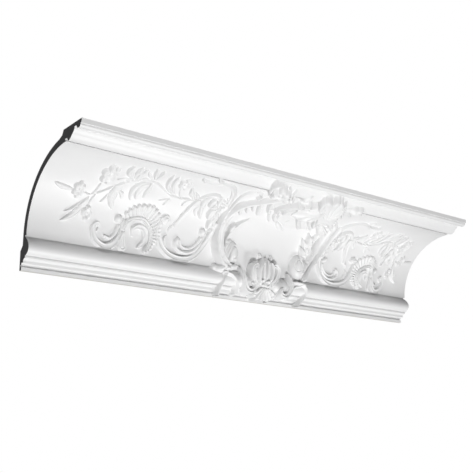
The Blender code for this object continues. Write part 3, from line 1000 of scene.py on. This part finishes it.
@dataclass
class Cartouche(Carving):
    """The frame in the middle: two great scrolls with their volutes, leaves, caps and feet."""

    name: str = "cartouche_frame"
    low: Place = (380.0, -59.0)
    high: Place = (728.0, 222.0)
    stop_depth: float = 3.0
    scrolls: tuple[Motif, ...] = (
        Band(((434, 1), (422, 15), (411, 33), (406, 53), (403.5, 72), (403, 90), (406, 108), (414, 128)),
             (8, 9.5, 9.5, 9.5, 10, 10, 10.5, 10), (27, 27, 26, 25, 21, 17, 13, 8), Cut.SCROLL),
        Band(((399, 102), (403, 120), (406, 140), (407, 165), (408, 186), (414, 199), (425, 205)),
             (3, 2.5, 2.5, 2.5, 2.5, 2.5, 2), (13, 9, 7, 6, 6, 6, 5)),
        Band(((409, 110), (416, 129), (426, 146), (438, 158), (452, 168), (470, 182), (488, 196)),
             (8, 9, 9.5, 9.5, 9, 9, 9), (15, 14, 14, 14, 14, 14, 13), Cut.ROLLED_LEFT),
        Band(((425, 205), (437, 200), (444, 190), (442, 180)), (2.5, 3, 2.5), (7, 9, 9)),
        Band(((634, 34), (640, 60), (651, 88), (666, 120), (676, 140)), (4, 7, 8, 7, 4), (16, 14, 11, 8, 5)),
        Band(((640, 14), (650, 36), (663, 62), (673, 84), (680, 106), (690, 142)), (4, 7, 10, 12, 12, 10),
             (24, 23, 20, 16, 13, 8)),
        Band(((648, -2), (655, 14), (663, 34), (672, 51), (690, 86), (711, 141)), (5, 6, 6, 6, 7, 8),
             (26, 25, 23, 18, 14, 8)),
    )
    volutes: tuple[Motif, ...] = (
        Knob((440, 34), 22, 30, 12.0),
        Knob((449, 32), 17, 28, 20.0, fullness=2.2),
        Knob((632, 24), 20, 32, 22.0),
    )
    lines: tuple[Groove, ...] = (
        Groove(((437, 8), (438, 22), (440, 38), (446, 50), (454, 50), (459, 40), (456, 28), (449, 24),
                (446, 30)), 1.2, 4.0),
        Groove(((424, 30), (427, 46), (434, 58)), 1.2, 4.0),
        Groove(((646, 6), (643, 22), (638, 40), (630, 48), (622, 40), (620, 28), (626, 18), (633, 22),
                (634, 30)), 1.2, 4.0),
        Groove(((650, 22), (664, 52), (676, 84), (688, 120)), 1.4, 5.0),
        Groove(((662, 16), (672, 40), (686, 72), (702, 112)), 1.2, 4.0),
    )
    leaves: tuple[Motif, ...] = (
        Band(((421, 45), (427, 68), (439, 88), (452, 104), (466, 118)), (5, 6, 6.5, 5, 0.8),
             (22, 15, 11, 8, 5), Cut.ROLLED_LEFT),
        Leaf((429, 78), (428, 90), (437, 101), 9, 13.0),
        Leaf((650, 44), (654, 84), (635, 113), 22, 16.0, lobes=4),
        Leaf((650, 70), (638, 80), (625, 98), 11, 11.0),
        Leaf((650, 52), (640, 62), (629, 78), 11, 13.0),
        Leaf((652, 74), (650, 86), (653, 98), 9, 11.0),
        Leaf((427, 146), (430, 136), (436, 121), 11, 8.0),
        Leaf((439, 156), (442, 144), (447, 130), 9, 8.0),
        Leaf((450, 166), (452, 152), (458, 138), 10, 9.0),
        Leaf((463, 176), (469, 154), (476, 129), 13, 9.0),
        Leaf((480, 186), (488, 164), (496, 142), 12, 11.0),
    )
    caps: tuple[Motif, ...] = (
        Band(((410, -2), (418, -4), (431, -3), (444, 1), (457, 5)), (8, 10, 10, 9, 7), (9, 19, 24, 24, 21)),
        Band(((611, -8), (621, -11), (636, -12), (651, -11)), (3, 6, 6.5, 4), (14, 23, 24, 19)),
    )
    feet: tuple[Motif, ...] = (
        Band(((434, -8), (431, -22), (425, -40), (422, -59)), (7, 6, 5, 3), (25, 20, 11, 3), Cut.RIDGE),
        Band(((428, -13), (443, -17), (457, -25), (465, -37), (467, -50)), (4, 5, 5, 5, 4),
             (23, 22, 18, 12, 6), Cut.ROLLED_LEFT),
        Band(((644, -11), (655, -20), (657, -34), (650, -48), (641, -59)), (6, 7, 6.5, 5, 2),
             (24, 20, 13, 8, 4), Cut.RIDGE),
        Band(((650, -13), (637, -20), (625, -23), (616, -32), (612, -43)), (3, 5, 5.5, 5, 3),
             (20, 20, 19, 14, 8), Cut.ROLLED_RIGHT),
        Band(((475, 6), (479, -8), (482, -24), (489, -38), (500, -43), (508, -37), (508, -28), (503, -25)),
             (1.5, 5, 6, 6.5, 6.5, 5.5, 4, 2.5), (13, 18, 20, 18, 16, 18, 20, 20), Cut.SCROLL),
        Band(((607, 9), (610, -8), (611, -23), (605, -37), (594, -43), (584, -40), (582, -32), (588, -28)),
             (1.5, 5, 6, 6.5, 6, 5, 4, 2.5), (13, 18, 20, 18, 16, 18, 20, 20), Cut.SCROLL),
    )

    def motifs(self) -> Iterable[Motif]:
        """Gives its forms in the order that they are carved in."""
        return *self.scrolls, *self.volutes, *self.leaves, *self.lines, *self.caps, *self.feet


@dataclass
class Palmette(Carving):
    """The shell-shaped palmette over the moulding below the frame."""

    name: str = "palmette"
    low: Place = (476.0, -59.5)
    high: Place = (592.0, 48.0)
    ground: tuple[Motif, ...] = (
        Pad(((506, -22), (499, -8), (500, 8), (508, 20), (520, 28), (538, 32), (556, 29), (568, 19), (575, 6),
             (574, -10), (566, -24), (556, -36), (538, -40), (518, -36)), Lift.PALMETTE, 17.0),
        Fan((538, -26), (4,), (33, 42, 38, 36, 41), (212.0, 336.0), 7, 6.0, Lift.PALMETTE, groove=0.8,
            edge=0.5),
    )
    curls: tuple[Motif, ...] = (
        Band(((521, 13), (513, 18), (505, 12), (503, 0), (506, -12), (513, -24), (514, -42)),
             (3, 5, 6, 6, 6, 5, 4), (22, 22, 20, 17, 9), Cut.SCROLL),
        Band(((554, 15), (563, 22), (571, 14), (572, 1), (567, -12), (559, -24), (562, -42)),
             (3, 5, 6, 6, 6, 5, 4), (22, 24, 21, 17, 9), Cut.SCROLL),
        Band(((528, 24), (521, 8), (521, -9), (527, -27)), (3, 5, 4.5, 3), (26, 24, 21, 16)),
        Band(((550, 26), (556, 9), (555, -9), (550, -26)), (3, 4.5, 4, 3), (26, 24, 21, 16)),
    )
    upright: tuple[Motif, ...] = (
        Leaf((534, -16), (530, 10), (532, 35), 9, 7.0, lift=Lift.PALMETTE),
        Leaf((543, -16), (545, 12), (541, 37), 9, 7.0, lift=Lift.PALMETTE),
        Knob((527, 39), 5.5, 6, 8.0),
        Knob((558, 38), 5.5, 6, 8.0),
        Knob((532, -17), 5, 3, 6.5, lift=Lift.PALMETTE),
        Knob((533, -27), 5, 3, 6.0, lift=Lift.PALMETTE),
        Knob((547, -18), 5, 3, 6.5, lift=Lift.PALMETTE),
        Knob((548, -28), 5, 3, 6.0, lift=Lift.PALMETTE),
    )

    def motifs(self) -> Iterable[Motif]:
        """Gives its forms in the order that they are carved in."""
        return *self.ground, *self.curls, *self.upright


@dataclass
class Crest(Carving):
    """The crest at the top of the frame: a rosette, a scarf, a boat-shaped leaf and a cockle shell."""

    name: str = "crest"
    low: Place = (420.0, 105.0)
    high: Place = (730.0, 264.0)
    stop_depth: float = 9.0
    stop_width: float = 3.2
    pad: Pad = Pad(((486, 172), (494, 157), (509, 146), (525, 132), (545, 118), (566, 110), (597, 117),
                    (628, 122), (640, 140), (662, 172), (654, 198), (646, 226), (632, 238), (605, 240),
                    (594, 216), (576, 208), (546, 206), (516, 216), (496, 204)), Lift.CREST, 20.0, 0.09)
    scarf: tuple[Motif, ...] = (
        Band(((513, 150), (507, 162), (505, 176), (511, 193), (527, 205), (543, 211)),
             (2.5, 4, 4.5, 4.5, 4, 2.5), (10, 14, 17, 20, 21, 19)),
        Band(((525, 156), (523, 172), (534, 190)), (2, 3, 2), (14, 18, 20)),
        Band(((564, 160), (579, 139), (597, 120)), (3, 3, 2.5), (21, 16, 7), Cut.TWIN),
        Band(((586, 172), (603, 149), (627, 126)), (3.5, 3.5, 2.5), (24, 19, 8), Cut.TWIN),
        Band(((604, 170), (614, 152), (625, 138)), (3, 3, 2.5), (24, 19, 13)),
        Band(((545, 164), (556, 178), (566, 192), (576, 206), (586, 222)), (2, 21, 30, 24, 3),
             (22, 25, 26, 26, 23), Cut.DISH, tilt=-5.0),
    )
    leaves: tuple[Motif, ...] = (
        Leaf((562, 198), (522, 222), (546, 236), 22, 6.0, lift=Lift.RIM),
        Leaf((514, 202), (490, 226), (497, 242), 12, 8.0, lift=Lift.RIM),
        Leaf((496, 222), (478, 236), (476, 246), 9, 6.0, lift=Lift.RIM),
        Leaf((492, 160), (496, 148), (504, 135), 9, 7.0),
        Leaf((500, 152), (506, 137), (514, 120), 10, 8.0),
        Leaf((514, 149), (518, 138), (530, 122), 10, 10.0),
        Leaf((534, 125), (545, 114), (568, 100), 12, 4.5, depth=0.1),
        Leaf((642, 220), (668, 226), (694, 237), 17, 9.0, lobes=3),
        Leaf((646, 212), (672, 208), (692, 196), 13, 9.0),
        Leaf((670, 218), (694, 217), (712, 212), 12, 7.0),
        Leaf((652, 170), (668, 151), (689, 131), 13, 12.0),
        Leaf((658, 176), (676, 164), (692, 150), 9, 10.0),
    )
    hollows: Pits = Pits(((500, 207), (598, 212), (483, 160), (511, 120), (520, 144), (670, 179), (692, 196),
                          (681, 218), (655, 149), (635, 146), (655, 181), (462, 204)))
    slits: tuple[Motif, ...] = (
        Groove(((541, 190), (547, 199), (553, 206)), 2.0, 9.0),
        Groove(((564, 203), (570, 208), (575, 212)), 2.0, 9.0),
        Groove(((551, 164), (563, 170), (576, 182), (588, 200)), 1.3, 3.5),
        Groove(((566, 160), (580, 176), (592, 198)), 1.3, 3.5),
        Groove(((518, 158), (513, 168), (515, 180), (524, 190)), 1.6, 6.0),
        Groove(((557, 112), (552, 128), (556, 144)), 1.4, 3.0),
        Groove(((648, 128), (640, 134), (634, 142)), 1.8, 6.0),
    )
    heads: tuple[Motif, ...] = (
        Flower((467, 221), 25, 24, 12.0, lift=Lift.RIM, turn=100),
        Band(((447, 212), (439, 226), (436, 238), (441, 248), (452, 250)), (2.5, 4, 4, 3), (6, 8, 5, 0)),
        Fan((634, 156), (12,), (42, 52, 57, 50), (296.0, 330.0), 5, 11.0, groove=0.6),
        Flower((636, 154), 12, 14, 17.0),
        Fan((617, 192), (5,), (55, 68, 57, 60, 49, 43, 41), (148.0, 41.0), 6, 14.0, Lift.CREST, groove=0.3,
            dish=0.55),
        Band(((634, 240), (642, 224), (650, 206), (655, 190), (662, 174)), (3, 4, 4.5, 4.5, 3),
             (7, 12, 19, 20, 15), notches=7.0),
    )

    def motifs(self) -> Iterable[Motif]:
        """Gives its forms in the order that they are carved in."""
        return self.pad, *self.scarf, *self.leaves, *self.heads, self.hollows, *self.slits


class Side(IntEnum):
    """The body's sides, in the order of their finishes."""

    FRONT = 0
    CUT_END = 1
    BACK = 2


@dataclass
class Body(SubAssembly):
    """The moulding's straight body, with its cut ends and its bare back."""

    name: str = "moulding_body"
    crease: float = math.radians(24.0)

    def outline(self) -> tuple[np.ndarray, int]:
        """Draws the section once round.

        Returns:
            Its points as (y, z), and how many of them are on the front.
        """
        runs = [*SECTION.drawn(SECTION.upper), SECTION.cove(), *SECTION.drawn(SECTION.lower)]
        front = np.vstack([run[:-1] for run in runs])
        rest = np.vstack([SECTION.foot_back, SECTION.back(), SECTION.top_face[:-1]])
        return np.vstack([front, rest]), len(front)

    def build(self) -> list[bpy.types.Object]:
        """Makes the body's piece, its faces marked front, cut end or back.

        Returns:
            The piece.
        """
        outline, front = self.outline()
        n = len(outline)
        points = np.array([
            (x, y, z + TOP_TO_ORIGIN) for x in (-LENGTH / 2, LENGTH / 2) for y, z in outline
        ]) * METRE
        sides = [[j, n + j, n + (j + 1) % n, (j + 1) % n] for j in range(n)]
        ends = [list(range(n)), list(range(2 * n - 1, n - 1, -1))]
        piece = solid_mesh(self.name, points, [*sides, *ends])
        piece.data.set_sharp_from_angle(angle=self.crease)
        finishes = [Side.FRONT] * front + [Side.BACK] * (n - front) + [Side.CUT_END] * len(ends)
        piece.data.polygons.foreach_set("material_index", finishes)
        return [piece]

    def dress(self, piece: bpy.types.Object) -> None:
        """Gives the front its primer, the cut ends their foam and the back its bare finish."""
        for finish in (WhitePrimer(), CutFoam(), BareBack()):
            piece.data.materials.append(finish.material())


@dataclass(frozen=True)
class Finish:
    """A mottled, finely bumped finish.

    Attributes:
        name: The material's name.
        colour: Its base colour.
        mottle: How much lighter and darker the clouds of tint make it, as a share.
        roughness: The middle of its roughness.
        tooth: The strength of its bump.
        grain: The bump's grains in a metre.
    """

    name: str
    colour: Triple
    mottle: float
    roughness: float
    tooth: float
    grain: float
    clouds: float = 14.0
    cloud_detail: float = 4.0
    tint_range: Place = (0.3, 0.7)
    sheen_swing: float = 0.06
    grain_detail: float = 3.0
    grain_depth: float = 0.0004

    def material(self) -> bpy.types.Material:
        """Makes the finish, or finds it where it is made already.

        Returns:
            The material.
        """
        known = bpy.data.materials.get(self.name)
        if known:
            return known
        material = bpy.data.materials.new(self.name)
        material.use_nodes = True
        tree = material.node_tree
        shader = tree.nodes["Principled BSDF"]
        where = tree.nodes.new("ShaderNodeTexCoord")
        clouds = tree.nodes.new("ShaderNodeTexNoise")
        clouds.inputs["Scale"].default_value = self.clouds
        clouds.inputs["Detail"].default_value = self.cloud_detail
        tint = tree.nodes.new("ShaderNodeValToRGB")
        shares = (1.0 - self.mottle, 1.0 + self.mottle)
        for stop, position, share in zip(tint.color_ramp.elements, self.tint_range, shares):
            stop.position = position
            stop.color = (*(min(c * share, 1.0) for c in self.colour), 1.0)
        gloss = tree.nodes.new("ShaderNodeMapRange")
        gloss.inputs["To Min"].default_value = self.roughness - self.sheen_swing
        gloss.inputs["To Max"].default_value = min(self.roughness + self.sheen_swing, 1.0)
        grains = tree.nodes.new("ShaderNodeTexNoise")
        grains.inputs["Scale"].default_value = self.grain
        grains.inputs["Detail"].default_value = self.grain_detail
        bump = tree.nodes.new("ShaderNodeBump")
        bump.inputs["Strength"].default_value = self.tooth
        bump.inputs["Distance"].default_value = self.grain_depth
        for source, target in (
            (where.outputs["Object"], clouds.inputs["Vector"]),
            (where.outputs["Object"], grains.inputs["Vector"]),
            (clouds.outputs["Fac"], tint.inputs["Fac"]),
            (clouds.outputs["Fac"], gloss.inputs["Value"]),
            (grains.outputs["Fac"], bump.inputs["Height"]),
            (tint.outputs["Color"], shader.inputs["Base Color"]),
            (gloss.outputs["Result"], shader.inputs["Roughness"]),
            (bump.outputs["Normal"], shader.inputs["Normal"]),
        ):
            tree.links.new(source, target)
        return material


@dataclass(frozen=True)
class WhitePrimer(Finish):
    """The white primer of the front, faintly mottled, with the fine tooth that a sprayed coat has."""

    name: str = "white_primer"
    colour: Triple = (0.87, 0.87, 0.87)
    mottle: float = 0.012
    roughness: float = 0.4
    tooth: float = 0.05
    grain: float = 900.0


@dataclass(frozen=True)
class CutFoam(Finish):
    """The dark foam of the cut ends, with its fine open cells."""

    name: str = "cut_foam"
    colour: Triple = (0.15, 0.15, 0.153)
    mottle: float = 0.12
    roughness: float = 0.9
    tooth: float = 0.3
    grain: float = 1400.0


@dataclass(frozen=True)
class BareBack(Finish):
    """The off-white back, as it leaves the mould."""

    name: str = "bare_back"
    colour: Triple = (0.74, 0.73, 0.69)
    mottle: float = 0.05
    roughness: float = 0.75
    tooth: float = 0.2
    grain: float = 300.0


@dataclass(frozen=True)
class PaleFloor(Finish):
    """The studio's plain pale floor."""

    name: str = "pale_floor"
    colour: Triple = (0.9, 0.9, 0.9)
    mottle: float = 0.01
    roughness: float = 0.8
    tooth: float = 0.02
    grain: float = 200.0


@dataclass(frozen=True)
class Lamp:
    """A soft square light: its name, its place in metres, its power in watts and its side in metres."""

    name: str
    at: Triple
    watts: float
    size: float


@dataclass
class Studio:
    """A pale floor, soft lights and the camera, in metres apart from the pixels and the sensor."""

    sensor_mm: float = 36.0
    nearest: float = 0.01
    frame_px: int = 473
    focal_px: float = 834.01
    centre_px: Place = (241.72, 274.38)
    camera_at: Triple = (-1.08102, -1.38226, -0.34224)
    right: Triple = (0.78776, -0.61596, -0.00503)
    down: Triple = (0.12764, 0.17122, -0.97693)
    ahead: Triple = (0.60261, 0.76894, 0.2135)
    floor_z: float = -2.3
    floor_size: float = 12.0
    surround: float = 0.06
    aim: Triple = (0.0, -0.1, 0.08)
    key: Lamp = Lamp("key", (-0.25, -1.66, -1.48), 29.0, 0.3)
    low_fill: Lamp = Lamp("low fill", (0.75, -0.86, -1.88), 14.0, 0.4)
    back_fill: Lamp = Lamp("back fill", (0.4, 1.9, 1.5), 30.0, 1.0)
    left_fill: Lamp = Lamp("left fill", (-4.0, -1.6, -0.9), 30.0, 0.6)

    def camera(self) -> None:
        """Sets the camera where the photograph was taken from."""
        lens = bpy.data.cameras.new("camera")
        lens.sensor_width = self.sensor_mm
        lens.lens = self.focal_px / self.frame_px * lens.sensor_width
        lens.shift_x = (self.frame_px / 2 - self.centre_px[0]) / self.frame_px
        lens.shift_y = (self.centre_px[1] - self.frame_px / 2) / self.frame_px
        lens.clip_start = self.nearest
        camera = bpy.data.objects.new("camera", lens)
        turn = np.column_stack([self.right, -np.array(self.down), -np.array(self.ahead)])
        camera.matrix_world = Matrix.Translation(self.camera_at) @ Matrix(turn.tolist()).to_4x4()
        bpy.context.scene.collection.objects.link(camera)
        bpy.context.scene.camera = camera

    def hang(self, lamp: Lamp) -> None:
        """Hangs a light, turned to the moulding.

        Args:
            lamp: The light's sizes.
        """
        source = bpy.data.lights.new(lamp.name, "AREA")
        source.energy = lamp.watts
        source.size = lamp.size
        light = bpy.data.objects.new(lamp.name, source)
        light.location = lamp.at
        toward = Matrix.Translation(self.aim).translation - light.location
        light.rotation_euler = toward.to_track_quat("-Z", "Y").to_euler()
        light.visible_camera = False
        bpy.context.scene.collection.objects.link(light)

    def world(self) -> None:
        """Sets a white background and an even, weaker surround."""
        world = bpy.data.worlds.new("studio")
        bpy.context.scene.world = world
        world.use_nodes = True
        tree = world.node_tree
        glow = tree.nodes["Background"]
        glow.inputs["Color"].default_value = WHITE
        glow.inputs["Strength"].default_value = self.surround
        plain = tree.nodes.new("ShaderNodeBackground")
        plain.inputs["Color"].default_value = WHITE
        path = tree.nodes.new("ShaderNodeLightPath")
        mix = tree.nodes.new("ShaderNodeMixShader")
        tree.links.new(path.outputs["Is Camera Ray"], mix.inputs[0])
        tree.links.new(glow.outputs[0], mix.inputs[1])
        tree.links.new(plain.outputs[0], mix.inputs[2])
        tree.links.new(mix.outputs[0], tree.nodes["World Output"].inputs["Surface"])

    def floor(self) -> None:
        """Lays the pale floor."""
        half = self.floor_size / 2
        square = ((-half, -half), (half, -half), (half, half), (-half, half))
        floor = solid_mesh("floor", np.array([(x, y, self.floor_z) for x, y in square]), [[0, 1, 2, 3]])
        floor.data.materials.append(PaleFloor().material())

    def build(self) -> None:
        """Sets up the whole studio."""
        self.camera()
        self.world()
        self.floor()
        for lamp in (self.key, self.low_fill, self.left_fill, self.back_fill):
            self.hang(lamp)
        bpy.context.scene.view_settings.view_transform = "Standard"


def main() -> None:
    """Builds and dresses every piece, and sets up the studio."""
    logging.basicConfig(level=logging.INFO, format="%(message)s")
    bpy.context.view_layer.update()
    Studio().build()
    for part in (Body(), Spray(), Cartouche(), Palmette(), Crest()):
        for piece in part.build():
            part.dress(piece)
            if isinstance(part, Body):
                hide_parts(NODE)
            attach(piece, BODY)
            log.info("%s: %d faces", piece.name, len(piece.data.polygons))


if __name__ == "__main__":
    main()
